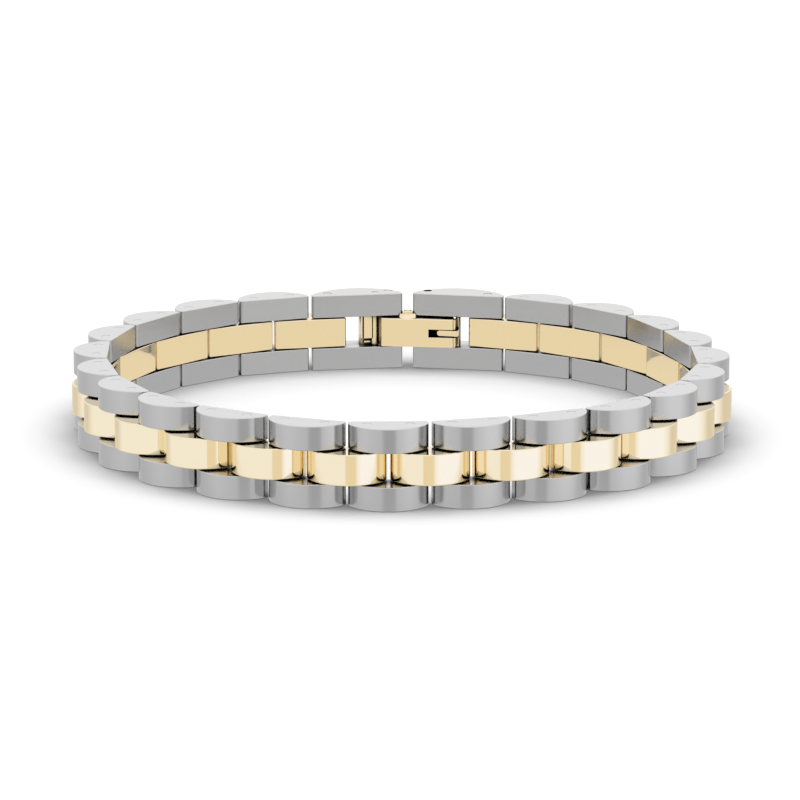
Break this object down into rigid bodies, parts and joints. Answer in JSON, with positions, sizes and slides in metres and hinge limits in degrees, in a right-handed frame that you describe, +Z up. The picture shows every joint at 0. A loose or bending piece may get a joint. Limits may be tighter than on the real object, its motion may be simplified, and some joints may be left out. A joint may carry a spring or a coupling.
{
  "type": "link watch bracelet",
  "caption": "Closed two-tone bracelet of D-shaped steel side links and pale gold centre links, joined by a folding lever clasp.",
  "frame": {"origin": "on the surface that the bracelet stands on, under the middle of its overall box", "axes": "+Z up along the pins, +Y from the front of the loop to its clasp, +X to the right as seen from the front"},
  "size_m": [0.074, 0.0732, 0.0091],
  "materials": {
    "steel": "satin",
    "gold": "polished pale gold plating"
  },
  "bodies": {
    "centre_01": {"centre_link_01": "gold"},
    "pair_01": {"side_link_pair_01": "steel"},
    "centre_02": {"centre_link_02": "gold"},
    "pair_02": {"side_link_pair_02": "steel"},
    "centre_03": {"centre_link_03": "gold"},
    "pair_03": {"side_link_pair_03": "steel"},
    "centre_04": {"centre_link_04": "gold"},
    "pair_04": {"side_link_pair_04": "steel"},
    "centre_05": {"centre_link_05": "gold"},
    "pair_05": {"side_link_pair_05": "steel"},
    "centre_06": {"centre_link_06": "gold"},
    "pair_06": {"side_link_pair_06": "steel"},
    "centre_07": {"centre_link_07": "gold"},
    "pair_07": {"side_link_pair_07": "steel"},
    "centre_08": {"centre_link_08": "gold"},
    "pair_08": {"side_link_pair_08": "steel"},
    "centre_09": {"centre_link_09": "gold"},
    "pair_09": {"side_link_pair_09": "steel"},
    "centre_10": {"centre_link_10": "gold"},
    "pair_10": {"side_link_pair_10": "steel"},
    "centre_11": {"centre_link_11": "gold"},
    "pair_11": {"side_link_pair_11": "steel"},
    "centre_12": {"centre_link_12": "gold"},
    "pair_12": {"side_link_pair_12": "steel"},
    "centre_13": {"centre_link_13": "gold"},
    "pair_13": {"side_link_pair_13": "steel"},
    "centre_14": {"centre_link_14": "gold"},
    "pair_14": {"side_link_pair_14": "steel"},
    "centre_15": {"centre_link_15": "gold"},
    "pair_15": {"side_link_pair_15": "steel"},
    "centre_16": {"centre_link_16": "gold"},
    "pair_16": {"side_link_pair_16": "steel"},
    "centre_17": {"centre_link_17": "gold"},
    "pair_17": {"side_link_pair_17": "steel"},
    "centre_18": {"centre_link_18": "gold"},
    "pair_18": {"side_link_pair_18": "steel"},
    "centre_19": {"centre_link_19": "gold"},
    "pair_19": {"side_link_pair_19": "steel"},
    "centre_20": {"centre_link_20": "gold"},
    "pair_20": {"side_link_pair_20": "steel"},
    "centre_21": {"centre_link_21": "gold"},
    "pair_21": {"side_link_pair_21": "steel"},
    "centre_22": {"centre_link_22": "gold"},
    "left_clasp": {"left_lower_clasp_link": "steel", "left_upper_clasp_link": "steel", "left_link_pin": "steel", "left_snap_pins": "steel", "hinge_block": "gold", "lever_hinge_pin": "steel"},
    "right_clasp": {"right_lower_clasp_link": "steel", "right_upper_clasp_link": "steel", "right_link_pin": "steel", "right_snap_pins": "steel", "catch": "gold"},
    "lever": {"lever": "gold"}
  },
  "joints": [
    {"name": "centre_12_hinge", "type": "hinge", "parent": "pair_11", "child": "centre_12", "pos_m": [0.00009, -0.03385, 0.00453], "axis": [0, 0, -1], "range_deg": [0, 10.55]},
    {"name": "pair_12_hinge", "type": "hinge", "parent": "centre_12", "child": "pair_12", "pos_m": [0.00463, -0.03329, 0.00453], "axis": [0, 0, -1], "range_deg": [0, 10.55]},
    {"name": "centre_13_hinge", "type": "hinge", "parent": "pair_12", "child": "centre_13", "pos_m": [0.00907, -0.03217, 0.00453], "axis": [0, 0, -1], "range_deg": [0, 8.2]},
    {"name": "pair_13_hinge", "type": "hinge", "parent": "centre_13", "child": "pair_13", "pos_m": [0.0134, -0.0307, 0.00453], "axis": [0, 0, -1], "range_deg": [0, 8.2]},
    {"name": "centre_14_hinge", "type": "hinge", "parent": "pair_13", "child": "centre_14", "pos_m": [0.01759, -0.02888, 0.00453], "axis": [0, 0, -1], "range_deg": [0, 12.12]},
    {"name": "pair_14_hinge", "type": "hinge", "parent": "centre_14", "child": "pair_14", "pos_m": [0.02147, -0.02644, 0.00453], "axis": [0, 0, -1], "range_deg": [0, 12.12]},
    {"name": "centre_15_hinge", "type": "hinge", "parent": "pair_14", "child": "centre_15", "pos_m": [0.02493, -0.02346, 0.00453], "axis": [0, 0, -1], "range_deg": [0, 12.12]},
    {"name": "pair_15_hinge", "type": "hinge", "parent": "centre_15", "child": "pair_15", "pos_m": [0.02791, -0.01999, 0.00453], "axis": [0, 0, -1], "range_deg": [0, 12.12]},
    {"name": "centre_16_hinge", "type": "hinge", "parent": "pair_15", "child": "centre_16", "pos_m": [0.03034, -0.01611, 0.00453], "axis": [0, 0, -1], "range_deg": [0, 10.55]},
    {"name": "pair_16_hinge", "type": "hinge", "parent": "centre_16", "child": "pair_16", "pos_m": [0.03228, -0.01196, 0.00453], "axis": [0, 0, -1], "range_deg": [0, 10.55]},
    {"name": "centre_17_hinge", "type": "hinge", "parent": "pair_16", "child": "centre_17", "pos_m": [0.03368, -0.00761, 0.00453], "axis": [0, 0, -1], "range_deg": [0, 12.9]},
    {"name": "pair_17_hinge", "type": "hinge", "parent": "centre_17", "child": "pair_17", "pos_m": [0.03436, -0.00309, 0.00453], "axis": [0, 0, -1], "range_deg": [0, 12.9]},
    {"name": "centre_18_hinge", "type": "hinge", "parent": "pair_17", "child": "centre_18", "pos_m": [0.0343, 0.00149, 0.00453], "axis": [0, 0, -1], "range_deg": [0, 11.33]},
    {"name": "pair_18_hinge", "type": "hinge", "parent": "centre_18", "child": "pair_18", "pos_m": [0.03361, 0.00601, 0.00453], "axis": [0, 0, -1], "range_deg": [0, 11.33]},
    {"name": "centre_19_hinge", "type": "hinge", "parent": "pair_18", "child": "centre_19", "pos_m": [0.03231, 0.0104, 0.00453], "axis": [0, 0, -1], "range_deg": [0, 7.42]},
    {"name": "pair_19_hinge", "type": "hinge", "parent": "centre_19", "child": "pair_19", "pos_m": [0.03071, 0.01468, 0.00453], "axis": [0, 0, -1], "range_deg": [0, 7.42]},
    {"name": "centre_20_hinge", "type": "hinge", "parent": "pair_19", "child": "centre_20", "pos_m": [0.02882, 0.01885, 0.00453], "axis": [0, 0, -1], "range_deg": [0, 13.68]},
    {"name": "pair_20_hinge", "type": "hinge", "parent": "centre_20", "child": "pair_20", "pos_m": [0.02623, 0.02262, 0.00453], "axis": [0, 0, -1], "range_deg": [0, 13.68]},
    {"name": "centre_21_hinge", "type": "hinge", "parent": "pair_20", "child": "centre_21", "pos_m": [0.02301, 0.02587, 0.00453], "axis": [0, 0, -1], "range_deg": [0, 11.33]},
    {"name": "pair_21_hinge", "type": "hinge", "parent": "centre_21", "child": "pair_21", "pos_m": [0.01938, 0.02865, 0.00453], "axis": [0, 0, -1], "range_deg": [0, 11.33]},
    {"name": "centre_22_hinge", "type": "hinge", "parent": "pair_21", "child": "centre_22", "pos_m": [0.0154, 0.03092, 0.00453], "axis": [0, 0, -1], "range_deg": [0, 11.33]},
    {"name": "right_clasp_hinge", "type": "hinge", "parent": "centre_22", "child": "right_clasp", "pos_m": [0.01115, 0.03261, 0.00453], "axis": [0, 0, -1], "range_deg": [0, 13.06]},
    {"name": "centre_11_hinge", "type": "hinge", "parent": "pair_11", "child": "centre_11", "pos_m": [-0.00449, -0.03385, 0.00453], "axis": [0, 0, 1], "range_deg": [0, 14.46]},
    {"name": "pair_10_hinge", "type": "hinge", "parent": "centre_11", "child": "pair_10", "pos_m": [-0.00898, -0.03298, 0.00453], "axis": [0, 0, 1], "range_deg": [0, 14.46]},
    {"name": "centre_10_hinge", "type": "hinge", "parent": "pair_10", "child": "centre_10", "pos_m": [-0.01322, -0.03127, 0.00453], "axis": [0, 0, 1], "range_deg": [0, 8.98]},
    {"name": "pair_09_hinge", "type": "hinge", "parent": "centre_10", "child": "pair_09", "pos_m": [-0.01728, -0.02916, 0.00453], "axis": [0, 0, 1], "range_deg": [0, 8.98]},
    {"name": "centre_09_hinge", "type": "hinge", "parent": "pair_09", "child": "centre_09", "pos_m": [-0.02113, -0.02668, 0.00453], "axis": [0, 0, 1], "range_deg": [0, 12.12]},
    {"name": "pair_08_hinge", "type": "hinge", "parent": "centre_09", "child": "pair_08", "pos_m": [-0.02455, -0.02365, 0.00453], "axis": [0, 0, 1], "range_deg": [0, 12.12]},
    {"name": "centre_08_hinge", "type": "hinge", "parent": "pair_08", "child": "centre_08", "pos_m": [-0.02748, -0.02014, 0.00453], "axis": [0, 0, 1], "range_deg": [0, 11.33]},
    {"name": "pair_07_hinge", "type": "hinge", "parent": "centre_08", "child": "pair_07", "pos_m": [-0.02991, -0.01626, 0.00453], "axis": [0, 0, 1], "range_deg": [0, 11.33]},
    {"name": "centre_07_hinge", "type": "hinge", "parent": "pair_07", "child": "centre_07", "pos_m": [-0.03179, -0.01209, 0.00453], "axis": [0, 0, 1], "range_deg": [0, 10.55]},
    {"name": "pair_06_hinge", "type": "hinge", "parent": "centre_07", "child": "pair_06", "pos_m": [-0.03314, -0.00771, 0.00453], "axis": [0, 0, 1], "range_deg": [0, 10.55]},
    {"name": "centre_06_hinge", "type": "hinge", "parent": "pair_06", "child": "centre_06", "pos_m": [-0.03394, -0.00321, 0.00453], "axis": [0, 0, 1], "range_deg": [0, 8.98]},
    {"name": "pair_05_hinge", "type": "hinge", "parent": "centre_06", "child": "pair_05", "pos_m": [-0.03431, 0.00135, 0.00453], "axis": [0, 0, 1], "range_deg": [0, 8.98]},
    {"name": "centre_05_hinge", "type": "hinge", "parent": "pair_05", "child": "centre_05", "pos_m": [-0.03424, 0.00592, 0.00453], "axis": [0, 0, 1], "range_deg": [0, 12.12]},
    {"name": "pair_04_hinge", "type": "hinge", "parent": "centre_05", "child": "pair_04", "pos_m": [-0.03349, 0.01044, 0.00453], "axis": [0, 0, 1], "range_deg": [0, 12.12]},
    {"name": "centre_04_hinge", "type": "hinge", "parent": "pair_04", "child": "centre_04", "pos_m": [-0.03207, 0.01479, 0.00453], "axis": [0, 0, 1], "range_deg": [0, 12.12]},
    {"name": "pair_03_hinge", "type": "hinge", "parent": "centre_04", "child": "pair_03", "pos_m": [-0.03001, 0.01887, 0.00453], "axis": [0, 0, 1], "range_deg": [0, 12.12]},
    {"name": "centre_03_hinge", "type": "hinge", "parent": "pair_03", "child": "centre_03", "pos_m": [-0.02737, 0.02261, 0.00453], "axis": [0, 0, 1], "range_deg": [0, 11.33]},
    {"name": "pair_02_hinge", "type": "hinge", "parent": "centre_03", "child": "pair_02", "pos_m": [-0.02424, 0.02594, 0.00453], "axis": [0, 0, 1], "range_deg": [0, 11.33]},
    {"name": "centre_02_hinge", "type": "hinge", "parent": "pair_02", "child": "centre_02", "pos_m": [-0.02069, 0.02882, 0.00453], "axis": [0, 0, 1], "range_deg": [0, 13.68]},
    {"name": "pair_01_hinge", "type": "hinge", "parent": "centre_02", "child": "pair_01", "pos_m": [-0.01668, 0.03103, 0.00453], "axis": [0, 0, 1], "range_deg": [0, 13.68]},
    {"name": "centre_01_hinge", "type": "hinge", "parent": "pair_01", "child": "centre_01", "pos_m": [-0.01234, 0.03249, 0.00453], "axis": [0, 0, 1], "range_deg": [0, 11.33]},
    {"name": "left_clasp_hinge", "type": "hinge", "parent": "centre_01", "child": "left_clasp", "pos_m": [-0.00785, 0.03335, 0.00453], "axis": [0, 0, 1], "range_deg": [0, 6.56]},
    {"name": "lever_hinge", "type": "hinge", "parent": "left_clasp", "child": "lever", "pos_m": [-0.00223, 0.03412, 0.00453], "axis": [0, 0, -1], "range_deg": [0, 80]}
  ]
}
